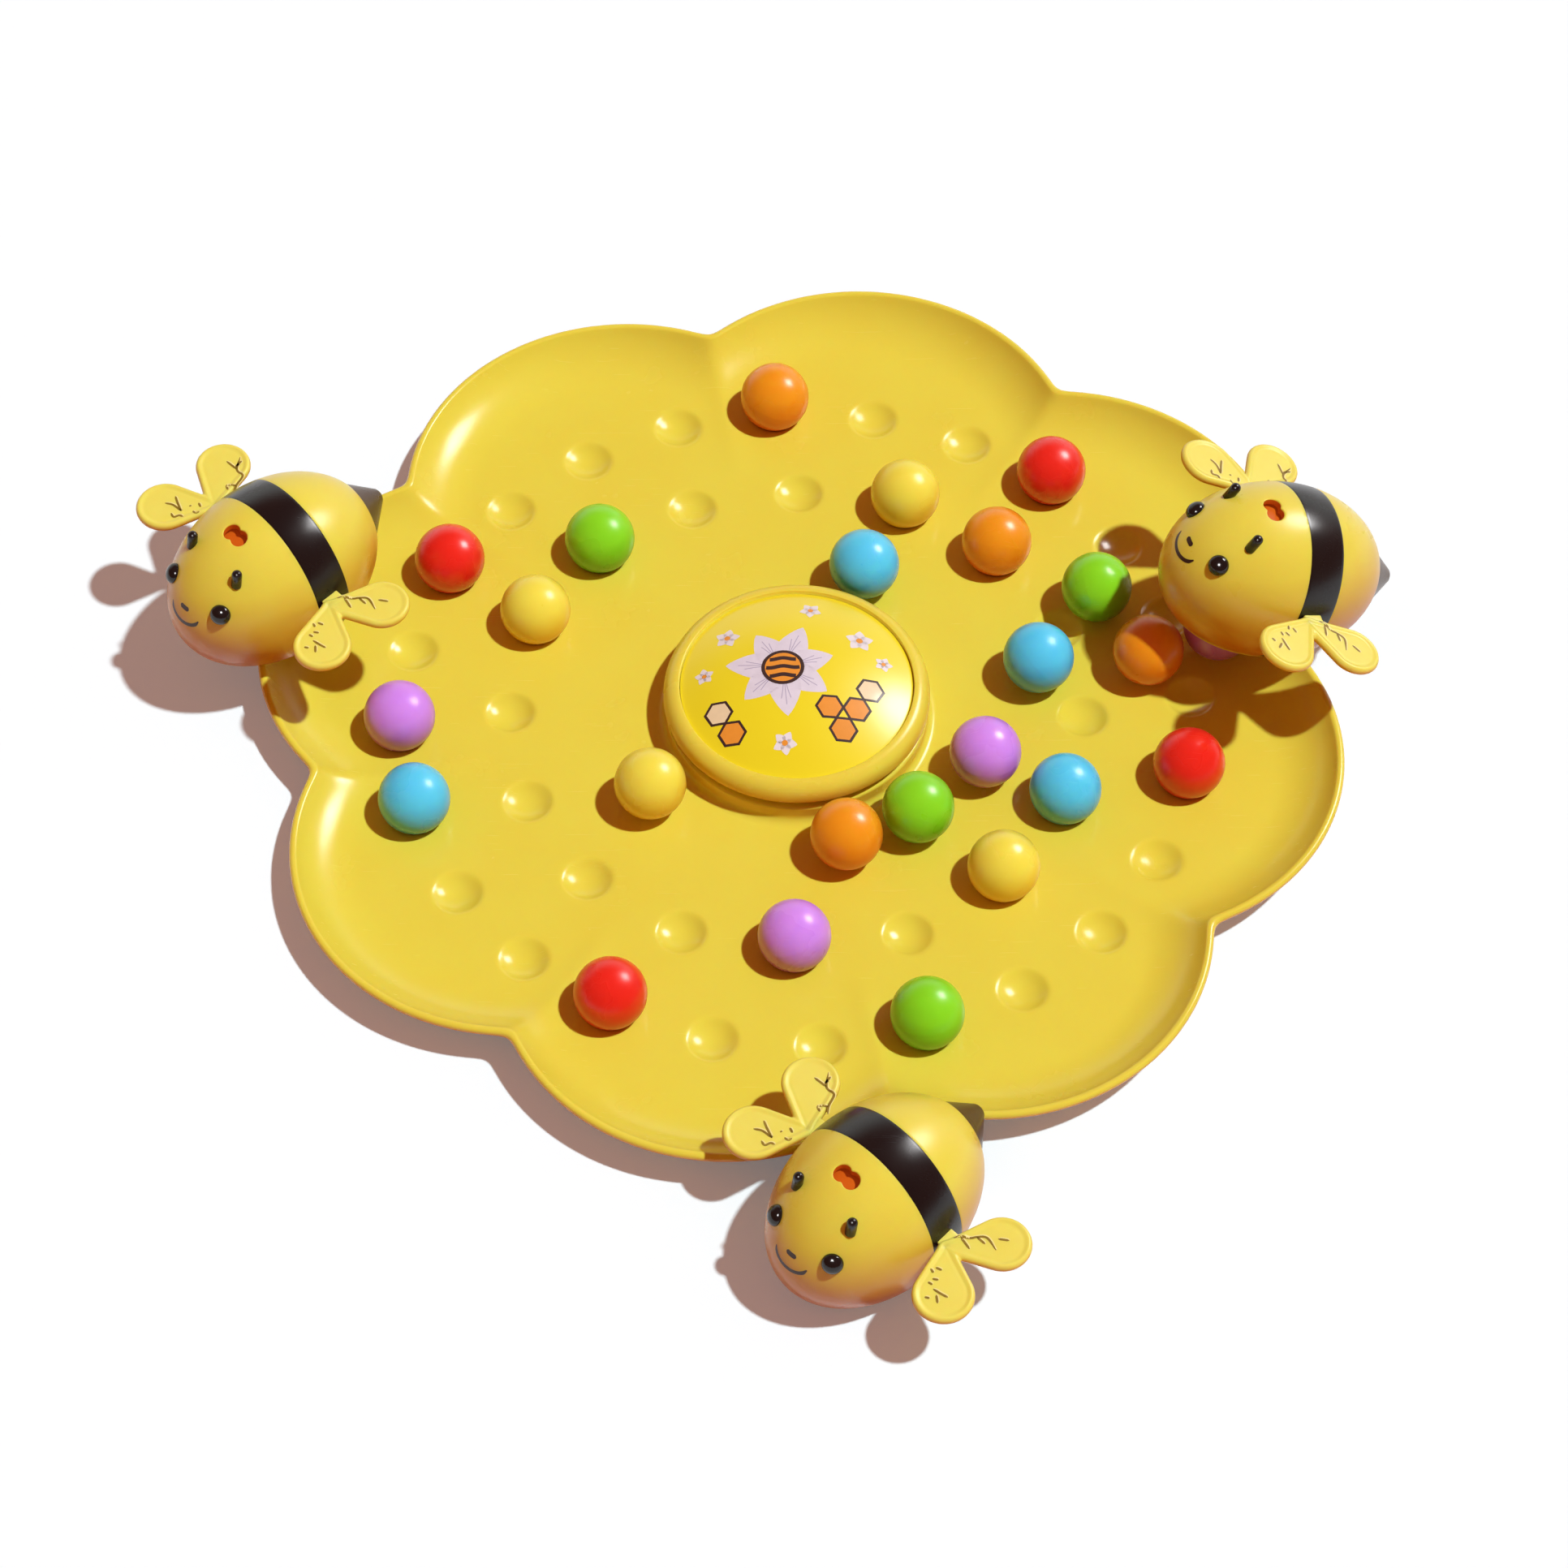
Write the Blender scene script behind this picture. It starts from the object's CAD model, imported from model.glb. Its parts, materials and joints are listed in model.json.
import json
import math
import bpy
import bmesh
import numpy as np
from mathutils import Matrix, Vector


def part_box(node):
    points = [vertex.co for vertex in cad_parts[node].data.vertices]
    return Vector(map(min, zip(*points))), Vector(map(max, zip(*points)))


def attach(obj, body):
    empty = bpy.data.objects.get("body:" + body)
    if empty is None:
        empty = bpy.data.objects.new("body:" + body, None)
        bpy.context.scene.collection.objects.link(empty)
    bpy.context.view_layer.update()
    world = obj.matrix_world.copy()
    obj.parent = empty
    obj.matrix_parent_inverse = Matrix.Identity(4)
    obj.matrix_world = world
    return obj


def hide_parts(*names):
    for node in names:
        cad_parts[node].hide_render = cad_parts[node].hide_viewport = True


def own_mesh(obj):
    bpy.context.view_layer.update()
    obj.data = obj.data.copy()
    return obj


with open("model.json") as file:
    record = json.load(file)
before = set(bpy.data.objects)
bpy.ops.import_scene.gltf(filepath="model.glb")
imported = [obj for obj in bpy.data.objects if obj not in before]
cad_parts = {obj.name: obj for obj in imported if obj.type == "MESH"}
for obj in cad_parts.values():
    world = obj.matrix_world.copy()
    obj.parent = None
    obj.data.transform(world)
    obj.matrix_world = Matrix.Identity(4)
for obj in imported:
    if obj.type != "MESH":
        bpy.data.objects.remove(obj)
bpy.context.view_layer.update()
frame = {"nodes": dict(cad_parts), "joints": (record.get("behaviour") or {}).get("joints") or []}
node = frame["nodes"]
mm = 0.001

# Tray: one injection moulding in satin yellow plastic, eight round dishes that run into each other
# like the petals of a flower. Each dish has five bead dimples, a rolled lip and a foot underneath,
# and the middle carries the collar in which the press button slides.
petal_count = 8
petal_ring = 82.0
petal_radius = 56.5
first_petal = math.radians(33.225)
petal_step = 2 * math.pi / petal_count
floor_top = 5.0
rim_rise = 8.0
wall = 2.2
lip = wall / 2
dish_fillet = 18.0
crest_softness = 1.1
fillet_reach = dish_fillet + lip
dish_angle = math.acos((dish_fillet - rim_rise + lip) / fillet_reach)
flat_radius = petal_radius - lip - fillet_reach * math.sin(dish_angle)
hub_radius, hub_bottom = 36.5, 2.0
collar_foot, foot_fillet = 35.5, 2.3
collar_top, collar_lip = 10.2, 0.8
well_radius, well_edge = 29.9, 0.3
ledge_radius, ledge_height = 31.4, 5.6
stand_ring, stand_radius, stand_round, stand_height = 116.0, 5.0, 0.8, 3.2
dimple_rings = [(100.0, (-15.0, 0.0, 15.0)), (72.5, (-11.25, 11.25))]
dimple_ball = 9.3
dimple_depth = 2.45
dimple_lip = 2.0
dimple_wall = 1.6
ridge_rise, ridge_width = 0.42, 3.2
ridge_start, ridge_swell, ridge_end, ridge_fade = 76.0, 16.0, 102.0, 10.0
tray_yellow = (0.785, 0.715, 0.072)
tray_amber = (0.780, 0.620, 0.047)
shade_orange = (0.800, 0.340, 0.010)


def new_group(name, inputs, outputs):
    """An empty shader node group; inputs are (name, socket, value), outputs (name, socket)."""
    group = bpy.data.node_groups.new(name, "ShaderNodeTree")
    for label, kind, value in inputs:
        socket = group.interface.new_socket(label, in_out="INPUT", socket_type="NodeSocket" + kind)
        socket.default_value = value
    for label, kind in outputs:
        group.interface.new_socket(label, in_out="OUTPUT", socket_type="NodeSocket" + kind)
    entry = group.nodes.new("NodeGroupInput")
    leave = group.nodes.new("NodeGroupOutput")
    return group, entry.outputs, leave.inputs


def feed(tree, socket, source):
    """Links a source socket to a socket, or writes a plain value there."""
    if isinstance(source, bpy.types.NodeSocket):
        tree.links.new(source, socket)
    else:
        socket.default_value = source


def maths(tree, operation, first, second=0.0, third=0.0):
    """A Math node's result."""
    found = tree.nodes.new("ShaderNodeMath")
    found.operation = operation
    for place, source in enumerate((first, second, third)):
        feed(tree, found.inputs[place], source)
    return found.outputs[0]


def noise(tree, where, scale, detail=2.0, roughness=0.5):
    """A Noise Texture's value between 0 and 1."""
    found = tree.nodes.new("ShaderNodeTexNoise")
    tree.links.new(where, found.inputs["Vector"])
    feed(tree, found.inputs["Scale"], scale)
    feed(tree, found.inputs["Detail"], detail)
    feed(tree, found.inputs["Roughness"], roughness)
    return found.outputs[0]


def mixed(tree, share, first, second):
    """Two colours mixed by a share."""
    found = tree.nodes.new("ShaderNodeMix")
    found.data_type = "RGBA"
    feed(tree, found.inputs[0], share)
    feed(tree, found.inputs[6], first)
    feed(tree, found.inputs[7], second)
    return found.outputs[2]


def span(tree, value, low, high, to_low=0.0, to_high=1.0):
    """A value moved from one range to another and held inside it."""
    found = tree.nodes.new("ShaderNodeMapRange")
    found.clamp = True
    feed(tree, found.inputs[0], value)
    for place, source in enumerate((low, high, to_low, to_high), 1):
        feed(tree, found.inputs[place], source)
    return found.outputs[0]


def build_flow_tint():
    """Soft cloudy colour change, as pigment flows through a moulding, deeper where it faces down."""
    group, entry, leave = new_group(
        "pigment flow",
        [("Colour", "Color", (1, 1, 1, 1)), ("Deep Colour", "Color", (1, 1, 1, 1)),
         ("Cloud Scale", "Float", 30.0), ("Amount", "Float", 0.4),
         ("Under Colour", "Color", (1, 1, 1, 1)), ("Under", "Float", 0.0)],
        [("Colour", "Color")],
    )
    where = group.nodes.new("ShaderNodeTexCoord").outputs["Object"]
    cloud = noise(group, where, entry["Cloud Scale"], 3.0, 0.55)
    streak = noise(group, where, maths(group, "MULTIPLY", entry["Cloud Scale"], 4.0), 2.0, 0.5)
    both = maths(group, "MULTIPLY_ADD", streak, 0.35, maths(group, "MULTIPLY", cloud, 0.65))
    share = maths(group, "MULTIPLY", span(group, both, 0.38, 0.66), entry["Amount"])
    plain = mixed(group, share, entry["Colour"], entry["Deep Colour"])
    facing = group.nodes.new("ShaderNodeSeparateXYZ")
    group.links.new(group.nodes.new("ShaderNodeNewGeometry").outputs["Normal"], facing.inputs[0])
    side_on = span(group, facing.outputs[2], 0.6, -0.3)
    not_flat = span(group, facing.outputs[2], -1.0, -0.75)
    down = maths(group, "MULTIPLY", side_on, not_flat)
    down = maths(group, "MULTIPLY", down, entry["Under"])
    group.links.new(mixed(group, down, plain, entry["Under Colour"]), leave["Colour"])
    return group


def build_handled_skin():
    """Fine orange peel in the gloss, with hairline rubs and duller patches from handling."""
    group, entry, leave = new_group(
        "handled skin",
        [("Grain Scale", "Float", 900.0), ("Grain", "Float", 0.5), ("Gloss Low", "Float", 0.25),
         ("Gloss High", "Float", 0.35), ("Rubs", "Float", 0.3)],
        [("Roughness", "Float"), ("Height", "Float")],
    )
    where = group.nodes.new("ShaderNodeTexCoord").outputs["Object"]
    peel = noise(group, where, entry["Grain Scale"], 2.0, 0.5)
    patches = noise(group, where, 55.0, 3.0, 0.6)
    turn = group.nodes.new("ShaderNodeMapping")
    turn.inputs["Rotation"].default_value = (0.3, 0.9, 0.7)
    turn.inputs["Scale"].default_value = (1.0, 26.0, 9.0)
    group.links.new(where, turn.inputs["Vector"])
    hair = span(group, noise(group, turn.outputs[0], 70.0, 2.0, 0.5), 0.68, 0.74)
    rubs = maths(group, "MULTIPLY", hair, entry["Rubs"])
    gloss = span(group, patches, 0.35, 0.68, entry["Gloss Low"], entry["Gloss High"])
    group.links.new(maths(group, "MULTIPLY_ADD", rubs, 0.18, gloss), leave["Roughness"])
    height = maths(group, "MULTIPLY_ADD", rubs, -0.4, maths(group, "MULTIPLY", peel, entry["Grain"]))
    group.links.new(height, leave["Height"])
    return group


flow_tint = build_flow_tint()
handled_skin = build_handled_skin()


def skinned(name, colour, deep, gloss, cloud, amount, grain, grain_scale, peel_depth, rubs, peel_strength):
    """A material, its shader and its tint; gloss is the lowest and the highest roughness."""
    material = bpy.data.materials.new(name)
    material.use_nodes = True
    tree = material.node_tree
    shader = tree.nodes["Principled BSDF"]
    tint = tree.nodes.new("ShaderNodeGroup")
    tint.node_tree = flow_tint
    skin = tree.nodes.new("ShaderNodeGroup")
    skin.node_tree = handled_skin
    bump = tree.nodes.new("ShaderNodeBump")
    wanted = [
        (tint, "Colour", (*colour, 1)), (tint, "Deep Colour", (*deep, 1)), (tint, "Cloud Scale", cloud),
        (tint, "Amount", amount), (skin, "Grain Scale", grain_scale), (skin, "Grain", grain),
        (skin, "Gloss Low", gloss[0]), (skin, "Gloss High", gloss[1]), (skin, "Rubs", rubs),
        (bump, "Strength", peel_strength), (bump, "Distance", peel_depth),
    ]
    for place, socket, value in wanted:
        place.inputs[socket].default_value = value
    tree.links.new(skin.outputs["Height"], bump.inputs["Height"])
    tree.links.new(bump.outputs[0], shader.inputs["Normal"])
    tree.links.new(skin.outputs["Roughness"], shader.inputs["Roughness"])
    tree.links.new(tint.outputs["Colour"], shader.inputs["Base Color"])
    return material, shader, tint


def plastic(name, colour, deep, gloss, cloud=30.0, amount=0.5, grain=0.4, grain_scale=900.0,
            peel_depth=0.00003, rubs=0.3, coat=0.0, specular=0.5, bleed=0.0, glow=0.0, coat_blur=0.12,
            under=None, under_share=0.9):
    """A moulded plastic; under is its colour where it faces down, bleed its share of soft light."""
    material, shader, tint = skinned(name, colour, deep, gloss, cloud, amount, grain, grain_scale,
                                     peel_depth, rubs, 0.35)
    if under:
        tint.inputs["Under Colour"].default_value = (*under, 1)
        tint.inputs["Under"].default_value = under_share
    shader.inputs["Specular IOR Level"].default_value = specular
    shader.inputs["Coat Weight"].default_value = coat
    shader.inputs["Coat Roughness"].default_value = coat_blur
    if bleed:
        shader.inputs["Subsurface Weight"].default_value = bleed
        shader.inputs["Subsurface Radius"].default_value = (1.0, 0.45, 0.12)
        shader.inputs["Subsurface Scale"].default_value = 0.0025
    if glow:
        material.node_tree.links.new(tint.outputs["Colour"], shader.inputs["Emission Color"])
        shader.inputs["Emission Strength"].default_value = glow
    return material


def mesh_piece(name, points, faces, material, scale=mm):
    """A smooth-shaded object from points in millimetres."""
    mesh = bpy.data.meshes.new(name)
    mesh.from_pydata((np.asarray(points, float) * scale).tolist(), [], faces)
    mesh.update()
    mesh.polygons.foreach_set("use_smooth", [True] * len(mesh.polygons))
    piece = bpy.data.objects.new(name, mesh)
    bpy.context.scene.collection.objects.link(piece)
    if material:
        mesh.materials.append(material)
    return piece


def grid_faces(rows, columns, start=0, closed=True, flip=False):
    """Quads between rows of points that go round once, or that stay open."""
    faces = []
    last = columns if closed else columns - 1
    for row in range(rows - 1):
        base = start + row * columns
        for column in range(last):
            after = (column + 1) % columns
            quad = (base + column, base + after, base + columns + after, base + columns + column)
            faces.append(quad[::-1] if flip else quad)
    return faces


def arc(centre, radius, start, end, steps):
    """Profile points on an arc, angles in degrees, both ends included."""
    angles = np.radians(np.linspace(start, end, steps + 1))
    return [(centre[0] + radius * math.cos(a), centre[1] + radius * math.sin(a)) for a in angles]


def lathe(profile, segments, start=0):
    """Points and faces of a profile of (distance, height) turned about the upright axis."""
    angles = np.linspace(0, 2 * math.pi, segments, endpoint=False)
    points = [(r * math.cos(a), r * math.sin(a), z) for r, z in profile for a in angles]
    return points, grid_faces(len(profile), segments, start)


petal_centres = []
dimple_centres = []
for petal in range(petal_count):
    azimuth = first_petal + petal * petal_step
    petal_centres.append((petal_ring * math.cos(azimuth), petal_ring * math.sin(azimuth)))
    for ring, offsets in dimple_rings:
        for offset in offsets:
            turn = azimuth + math.radians(offset)
            dimple_centres.append((ring * math.cos(turn), ring * math.sin(turn)))


def past_outline(x, y):
    """Distance outside the flower's outline, with the notches and crests softly rounded."""
    gaps = [np.hypot(x - cx, y - cy) - petal_radius for cx, cy in petal_centres]
    return -crest_softness * np.log(sum(np.exp(-gap / crest_softness) for gap in gaps))


def dimple_rise(x, y):
    """Height of the dimples' upper side against the flat floor."""
    middle = dimple_ball - dimple_depth
    reach = math.sqrt((dimple_ball + dimple_lip) ** 2 - (middle + dimple_lip) ** 2)
    meet = reach * dimple_ball / (dimple_ball + dimple_lip)
    rise = np.zeros_like(x)
    for cx, cy in dimple_centres:
        away = np.hypot(x - cx, y - cy)
        bowl = middle - np.sqrt(np.maximum(dimple_ball ** 2 - away ** 2, 0))
        soft = -dimple_lip + np.sqrt(np.maximum(dimple_lip ** 2 - (reach - away) ** 2, 0))
        rise = np.where(away < meet, bowl, np.where(away < reach, soft, rise))
    return rise


def crest_rise(x, y):
    """Height of the soft creases that run on inward from the notches and fade out on the floor."""
    away = np.hypot(x, y)
    turn = (np.arctan2(y, x) - first_petal) % petal_step - petal_step / 2
    start = np.clip((away - ridge_start) / ridge_swell, 0, 1)
    end = np.clip((away - ridge_end) / ridge_fade, 0, 1)
    share = start ** 2 * (3 - 2 * start) * (1 - end ** 2 * (3 - 2 * end))
    return ridge_rise * share * np.exp(-(away * np.sin(turn) / ridge_width) ** 2)


def bulge_drop(x, y):
    """How far the dimples' backs stand below the flat underside."""
    middle = dimple_ball - dimple_depth
    ball = dimple_ball + dimple_wall
    drop = np.full_like(x, -wall)
    for cx, cy in dimple_centres:
        away = np.hypot(x - cx, y - cy)
        back = middle - np.sqrt(np.maximum(ball ** 2 - away ** 2, 0))
        drop = np.minimum(drop, np.where(away < ball, back, 0))
    return drop


def tray_field():
    """Points and faces of the dished flower, from the collar over the lip to the hub below."""
    columns = 1024
    turns = np.linspace(0, 2 * math.pi, columns, endpoint=False)
    degrees = math.degrees(dish_angle)
    inner = arc((flat_radius, dish_fillet), dish_fillet, -90, degrees - 90, 26)
    middle = (flat_radius + fillet_reach * math.sin(dish_angle), rim_rise - lip)
    rolled = arc(middle, lip, 90 + degrees, degrees - 90, 16)
    outer = arc((flat_radius, dish_fillet), dish_fillet + wall, degrees - 90, -90, 18)
    path = inner + rolled[1:] + outer[1:]
    level = np.array([p[0] for p in path])[:, None] - petal_radius
    low = np.full((len(path), columns), petal_ring)
    high = np.full((len(path), columns), petal_ring + petal_radius + 2)
    for _ in range(34):
        reach = (low + high) / 2
        inside = past_outline(reach * np.cos(turns), reach * np.sin(turns)) < level
        low = np.where(inside, reach, low)
        high = np.where(inside, high, reach)
    wall_reach = (low + high) / 2
    wall_rise = np.repeat(np.array([p[1] for p in path])[:, None], columns, 1)
    dish = len(inner)
    wall_rise[:dish] += crest_rise(wall_reach[:dish] * np.cos(turns), wall_reach[:dish] * np.sin(turns))
    share = np.linspace(0, 1, 131)[:-1, None]
    floor_reach = collar_foot + share * (wall_reach[0] - collar_foot)
    floor_x, floor_y = floor_reach * np.cos(turns), floor_reach * np.sin(turns)
    floor_rise = dimple_rise(floor_x, floor_y) + crest_rise(floor_x, floor_y)
    back_share = np.linspace(1, 0, 91)[1:, None]
    back_reach = hub_radius + back_share * (wall_reach[-1] - hub_radius)
    back_rise = bulge_drop(back_reach * np.cos(turns), back_reach * np.sin(turns))
    reach = np.vstack([floor_reach, wall_reach, back_reach])
    rise = np.vstack([floor_rise, wall_rise, back_rise]) + floor_top
    points = np.stack([reach * np.cos(turns), reach * np.sin(turns), rise], -1).reshape(-1, 3)
    return points.tolist(), grid_faces(len(reach), columns)


tray_points, tray_faces = tray_field()
collar_radius = collar_foot - foot_fillet
collar_profile = arc((collar_foot, floor_top + foot_fillet), foot_fillet, -90, -180, 8)
collar_profile += arc((collar_radius - collar_lip, collar_top - collar_lip), collar_lip, 0, 90, 6)
collar_profile += [(well_radius + well_edge, collar_top), (well_radius, collar_top - well_edge),
                   (well_radius, ledge_height), (ledge_radius, ledge_height), (ledge_radius, hub_bottom),
                   (hub_radius, hub_bottom), (hub_radius, floor_top - wall)]
more, faces = lathe(collar_profile, 192, len(tray_points))
tray_points += more
tray_faces += faces
stand = [(0.01, 0.0)] + arc((stand_radius - stand_round, stand_round), stand_round, -90, 0, 2)
stand += [(stand_radius, stand_height)]
for cx, cy in petal_centres:
    away = stand_ring / petal_ring
    more, faces = lathe(stand, 40, len(tray_points))
    tray_points += [(x + cx * away, y + cy * away, z) for x, y, z in more]
    tray_faces += faces
tray_plastic = plastic("satin yellow tray", tray_yellow, tray_amber, (0.20, 0.28), cloud=14.0,
                       amount=0.35, grain=0.5, grain_scale=700.0, rubs=0.35, bleed=0.25,
                       under=shade_orange, under_share=0.75)
tray = mesh_piece("flower_tray", tray_points, tray_faces, tray_plastic)
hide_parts("tray")
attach(tray, "tray")

# Bottom cover, its four screws and the return spring: a matte plate that closes the button's well,
# cross-slot screws in zinc-plated steel, and a coil of steel wire that pushes the button up.


def metal(name, colour, gloss, brush):
    """Bare steel with fine drawing marks."""
    deep = [c * 0.7 for c in colour]
    material, shader, _ = skinned(name, colour, deep, gloss, 200.0, 0.4, 0.5, brush, 0.00002, 0.3, 0.3)
    shader.inputs["Metallic"].default_value = 1.0
    return material


def dress(name, material):
    """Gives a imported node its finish."""
    mesh = node[name].data
    mesh.materials.clear()
    mesh.materials.append(material)


cover_plastic = plastic("matte yellow cover", (0.76, 0.57, 0.075), (0.70, 0.47, 0.05), (0.52, 0.62),
                        cloud=20.0, grain=1.0, grain_scale=1600.0, peel_depth=0.00006, rubs=0.5)
screw_steel = metal("zinc-plated steel", (0.56, 0.57, 0.58), (0.25, 0.4), 1500.0)
spring_steel = metal("spring wire", (0.50, 0.50, 0.51), (0.3, 0.42), 2500.0)
dress("bottom_cover", cover_plastic)
dress("cover_screws", screw_steel)


coil_radius, wire_radius, winds = 7.0, 0.45, 5
coil_bottom, coil_top = 2.55, 14.15


def coil_mesh():
    """A round wire wound in a few turns, with rounded ends."""
    climb = coil_top - coil_bottom
    slope = climb / (2 * math.pi * winds * coil_radius)
    around = np.linspace(0, 2 * math.pi, 14, endpoint=False)
    share = np.linspace(0, 1, winds * 48 + 1)
    swell = [math.sqrt(1 - s * s) for s in (0.98, 0.8, 0.5)]
    stations = [(0.0, s) for s in swell] + [(s, 1.0) for s in share] + [(1.0, s) for s in swell[::-1]]
    points = []
    for along, size in stations:
        turn = 2 * math.pi * winds * along
        outward = np.array([math.cos(turn), math.sin(turn), 0.0])
        centre = coil_radius * outward + np.array([0, 0, coil_bottom + climb * along])
        ahead = np.array([-math.sin(turn), math.cos(turn), slope])
        ahead /= np.linalg.norm(ahead)
        shift = math.sqrt(max(0.0, 1 - size * size)) * wire_radius * (1 if along > 0.5 else -1)
        upward = np.cross(outward, ahead)
        for a in around:
            rim = wire_radius * size * (math.cos(a) * outward + math.sin(a) * upward)
            points.append(centre + ahead * shift + rim)
    faces = grid_faces(len(stations), len(around))
    last = len(points) - len(around)
    faces += [tuple(range(len(around)))[::-1], tuple(range(last, len(points)))]
    return points, faces


coil = mesh_piece("return_spring_coil", *coil_mesh(), spring_steel)
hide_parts("button_spring")
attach(coil, "tray")
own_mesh(coil)

# Press button: a round-edged cap with a skirt that slides in the collar, in glossy yellow plastic,
# and three snap hooks below. The cap travels two millimetres against the spring.
cap_top, cap_radius = 18.0, 33.6
round_width, round_height = 3.7, 4.4
recess_radius, recess_floor = 29.5, 16.5
brim_bottom, brim_round = 12.4, 1.0
skirt_radius, skirt_inner, skirt_bottom = 29.6, 28.0, 4.2
roof_under = 14.7
guide_outer, guide_inner, guide_bottom = 9.6, 8.2, 12.2
hook_root, hook_reach, hook_top = 28.8, 30.9, 5.4
hook_count, hook_turn, hook_steps = 3, 30.0, 13
cap_plastic = plastic("glossy yellow cap", (0.80, 0.71, 0.072), (0.79, 0.61, 0.042), (0.24, 0.31),
                      cloud=25.0, amount=0.3, grain=0.3, rubs=0.35, bleed=0.30, under=shade_orange)
cap_profile = [(0.01, recess_floor), (recess_radius, recess_floor), (recess_radius, cap_top - 0.15),
               (recess_radius + 0.12, cap_top - 0.03), (recess_radius + 0.25, cap_top)]
cap_profile += [(cap_radius - round_width * (1 - math.sin(a)), cap_top - round_height * (1 - math.cos(a)))
                for a in np.linspace(0, math.pi / 2, 15)]
cap_profile += arc((cap_radius - brim_round, brim_bottom + brim_round), brim_round, 0, -90, 6)
cap_profile += [(skirt_radius, brim_bottom), (skirt_radius, skirt_bottom), (skirt_inner, skirt_bottom),
                (skirt_inner, roof_under), (guide_outer, roof_under), (guide_outer, guide_bottom),
                (guide_inner, guide_bottom), (guide_inner, roof_under), (0.01, roof_under)]
cap_points, cap_faces = lathe(cap_profile, 192)
hook_profile = [(hook_root, skirt_bottom), (hook_reach, skirt_bottom), (hook_reach, hook_top - 0.4),
                (hook_reach - 0.2, hook_top), (hook_root, hook_top)]
corners = len(hook_profile)
for hook in range(hook_count):
    start = len(cap_points)
    turns = np.radians(np.linspace(0, hook_turn, hook_steps) + 360 / hook_count * hook)
    cap_points += [(r * math.cos(a), r * math.sin(a), z) for a in turns for r, z in hook_profile]
    cap_faces += grid_faces(hook_steps, corners, start)
    last = len(cap_points) - corners
    cap_faces += [tuple(range(start, start + corners)), tuple(range(last, last + corners))[::-1]]
cap = mesh_piece("button_cap_turned", cap_points, cap_faces, cap_plastic)
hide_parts("button_cap")
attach(cap, "button")

# Button label: a thin domed disc with a bright yellow printed face under a soft clear gloss, pressed
# into the cap's recess. The print is a garden pattern: one striped blossom, honeycomb and small flowers.
label_radius = 29.3
label_seat, label_rim, label_dome = 16.5, 17.0, 6.5
hollow_radius, hollow_shoulder, hollow_crown = 26.5, (15.0, 19.4), 20.9
label_ball = (label_radius ** 2 + label_dome ** 2) / (2 * label_dome)
label_face = plastic("printed label", (0.88, 0.79, 0.016), (0.88, 0.73, 0.011), (0.35, 0.41),
                     cloud=18.0, amount=0.5, grain=0.25, grain_scale=500.0, rubs=0.2, coat=0.8,
                     coat_blur=0.27, specular=0.6)


def label_height(x, y):
    """Height of the label's domed face."""
    return label_rim + label_dome - label_ball + math.sqrt(label_ball ** 2 - x * x - y * y)


label_profile = [(0.01, hollow_crown), hollow_shoulder, (hollow_radius, label_seat),
                 (label_radius, label_seat), (label_radius, label_rim - 0.1),
                 (label_radius - 0.06, label_rim - 0.02)]
label_profile += [(r, label_height(r, 0)) for r in np.linspace(label_radius - 0.25, 0.01, 48)]
label = mesh_piece("button_label_disc", *lathe(label_profile, 160), label_face)
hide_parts("button_label")
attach(label, "button")


def ink(name, colour, gloss=0.42):
    """A printed ink with a slightly uneven lay."""
    return plastic(name, colour, tuple(c * 0.86 for c in colour), (gloss, gloss + 0.08), cloud=120.0,
                   amount=0.5, grain=0.3, grain_scale=1500.0, rubs=0.25, coat=0.3)


ink_petal = ink("lavender white ink", (0.76, 0.75, 0.80))
ink_vein = ink("grey lavender ink", (0.47, 0.45, 0.56))
ink_brown = ink("dark brown ink", (0.040, 0.022, 0.020))
ink_orange = ink("amber ink", (0.84, 0.33, 0.035))
ink_cream = ink("cream ink", (0.86, 0.72, 0.42))
ink_white = ink("white ink", (0.83, 0.82, 0.80))
inks = [ink_petal, ink_vein, ink_brown, ink_orange, ink_cream, ink_white]
ink_lift = 0.015
outline_step = 0.8


class Print:
    """Flat printed shapes that follow the label's dome, each a little above the one before."""

    def __init__(self):
        self.points = []
        self.faces = []
        self.inks = []

    def shape(self, outline, colour, layer):
        """A filled outline round its own middle."""
        fine = []
        for (ax, ay), (bx, by) in zip(outline, outline[1:] + outline[:1]):
            parts = 1 + int(math.hypot(bx - ax, by - ay) / outline_step)
            fine += [(ax + (bx - ax) * k / parts, ay + (by - ay) * k / parts) for k in range(parts)]
        outline = fine
        middle = np.mean(outline, axis=0)
        start = len(self.points)
        rings = 5
        for ring in range(rings + 1):
            for x, y in outline:
                px = middle[0] + (x - middle[0]) * ring / rings
                py = middle[1] + (y - middle[1]) * ring / rings
                self.points.append((px, py, label_height(px, py) + ink_lift * layer))
        made = grid_faces(rings + 1, len(outline), start)
        self.faces += made
        self.inks += [inks.index(colour)] * len(made)

    def line(self, path, width, colour, layer):
        """A line of a given width along a path."""
        path = np.asarray(path, float)
        ahead = np.gradient(path, axis=0)
        ahead /= np.linalg.norm(ahead, axis=1)[:, None]
        side = np.stack([-ahead[:, 1], ahead[:, 0]], 1) * width / 2
        start = len(self.points)
        for point, across in zip(path, side):
            for x, y in (point + across, point - across):
                self.points.append((x, y, label_height(x, y) + ink_lift * layer))
        for step in range(len(path) - 1):
            base = start + 2 * step
            self.faces.append((base, base + 1, base + 3, base + 2))
            self.inks.append(inks.index(colour))


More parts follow.
